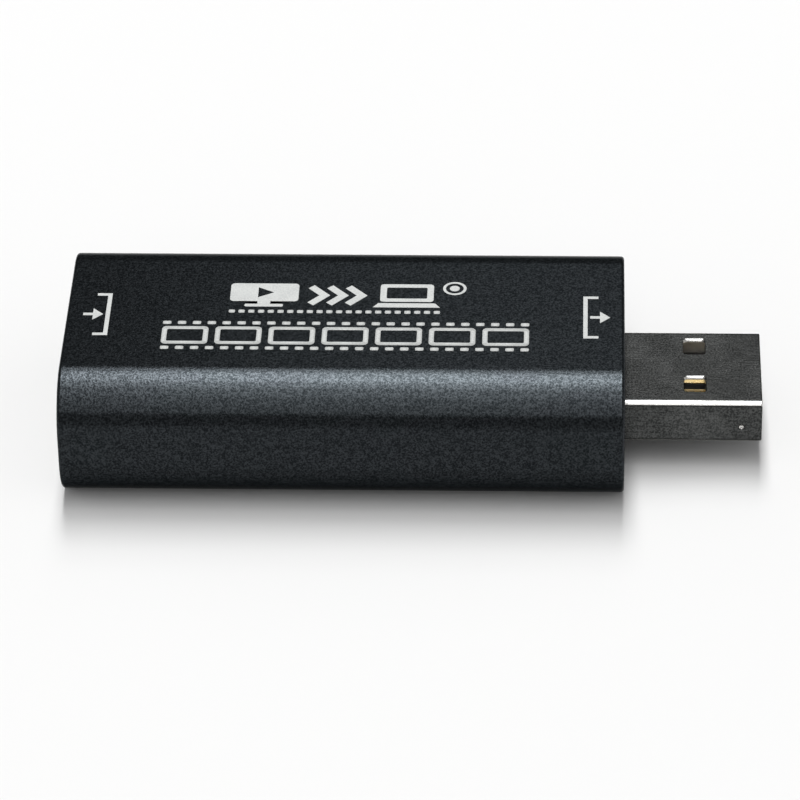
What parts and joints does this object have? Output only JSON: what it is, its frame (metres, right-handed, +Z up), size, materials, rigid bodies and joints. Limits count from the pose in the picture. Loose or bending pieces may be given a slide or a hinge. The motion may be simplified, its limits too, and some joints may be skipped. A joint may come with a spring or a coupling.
{
  "type": "video capture box",
  "caption": "Slim rounded black aluminium capture box with a flat serial plug at one end and a video socket at the other, circuit board inside.",
  "frame": {"origin": "centre of the whole box, plug included, on the surface that it lies on", "axes": "+X from the video socket towards the plug's tip, +Z up through the printed face"},
  "size_m": [0.0648, 0.0274, 0.0128],
  "materials": {
    "anodised_aluminium": "bead-blasted, black anodised",
    "cap_plastic": "fine moulded texture",
    "board_laminate": "green solder mask on glass laminate",
    "socket_plate": "nickel-plated sheet",
    "spring_plate": "nickel-plated sheet",
    "plug_plate": "bright nickel-plated sheet",
    "insulator_plastic": "glass-filled moulding",
    "contact_gold": "gold-plated copper alloy",
    "solder": "bright solder",
    "chip_epoxy": "moulded epoxy",
    "tinned_lead": "tinned",
    "crystal_ceramic": "fired ceramic",
    "crystal_metal": "plated lid",
    "capacitor_ceramic": "fired ceramic",
    "resistor_film": "glazed film",
    "ferrite": "sintered ferrite",
    "white_ink": "printed ink"
  },
  "bodies": {
    "case": {"housing_sleeve": "anodised_aluminium", "input_end_cap": "cap_plastic", "output_end_cap": "cap_plastic", "circuit_board": "board_laminate", "socket_shell": "socket_plate", "plug_shell": "plug_plate", "socket_insulator": "insulator_plastic", "plug_insulator": "insulator_plastic", "socket_upper_contacts": "contact_gold", "socket_lower_contacts": "contact_gold", "plug_power_contacts": "contact_gold", "plug_data_contacts": "contact_gold", "socket_leg_solder": "solder", "plug_leg_solder": "solder", "capture_chip": "chip_epoxy", "memory_chip": "chip_epoxy", "regulators": "chip_epoxy", "surge_arrestors": "chip_epoxy", "capture_chip_leads": "tinned_lead", "memory_chip_leads": "tinned_lead", "regulator_leads": "tinned_lead", "surge_arrestor_pads": "tinned_lead", "capacitor_terminals": "tinned_lead", "resistor_terminals": "tinned_lead", "bead_terminals": "tinned_lead", "crystal_base": "crystal_ceramic", "crystal_lid": "crystal_metal", "capacitors": "capacitor_ceramic", "resistors": "resistor_film", "ferrite_beads": "ferrite"},
    "spring_upper_left": {"socket_spring_upper_left": "spring_plate"},
    "spring_upper_right": {"socket_spring_upper_right": "spring_plate"},
    "spring_lower_left": {"socket_spring_lower_left": "spring_plate"},
    "spring_lower_right": {"socket_spring_lower_right": "spring_plate"},
    "spring_side_left": {"socket_spring_side_left": "spring_plate"},
    "spring_side_right": {"socket_spring_side_right": "spring_plate"}
  },
  "joints": [
    {"name": "spring_upper_left_flex", "type": "hinge", "parent": "case", "child": "spring_upper_left", "pos_m": [-0.0252, 0.0033, 0.00835], "axis": [0, 1, 0], "range_deg": [0, 8.5], "stiffness_Nm_per_rad": 0.05},
    {"name": "spring_upper_right_flex", "type": "hinge", "parent": "case", "child": "spring_upper_right", "pos_m": [-0.0252, -0.0033, 0.00835], "axis": [0, 1, 0], "range_deg": [0, 8.5], "stiffness_Nm_per_rad": 0.05},
    {"name": "spring_lower_left_flex", "type": "hinge", "parent": "case", "child": "spring_lower_left", "pos_m": [-0.0252, 0.0033, 0.0035], "axis": [0, -1, 0], "range_deg": [0, 8.5], "stiffness_Nm_per_rad": 0.05},
    {"name": "spring_lower_right_flex", "type": "hinge", "parent": "case", "child": "spring_lower_right", "pos_m": [-0.0252, -0.0033, 0.0035], "axis": [0, -1, 0], "range_deg": [0, 8.5], "stiffness_Nm_per_rad": 0.05},
    {"name": "spring_side_left_flex", "type": "hinge", "parent": "case", "child": "spring_side_left", "pos_m": [-0.0252, 0.00715, 0.00662], "axis": [0, 0, -1], "range_deg": [0, 8.5], "stiffness_Nm_per_rad": 0.05},
    {"name": "spring_side_right_flex", "type": "hinge", "parent": "case", "child": "spring_side_right", "pos_m": [-0.0252, -0.00715, 0.00662], "axis": [0, 0, 1], "range_deg": [0, 8.5], "stiffness_Nm_per_rad": 0.05}
  ]
}
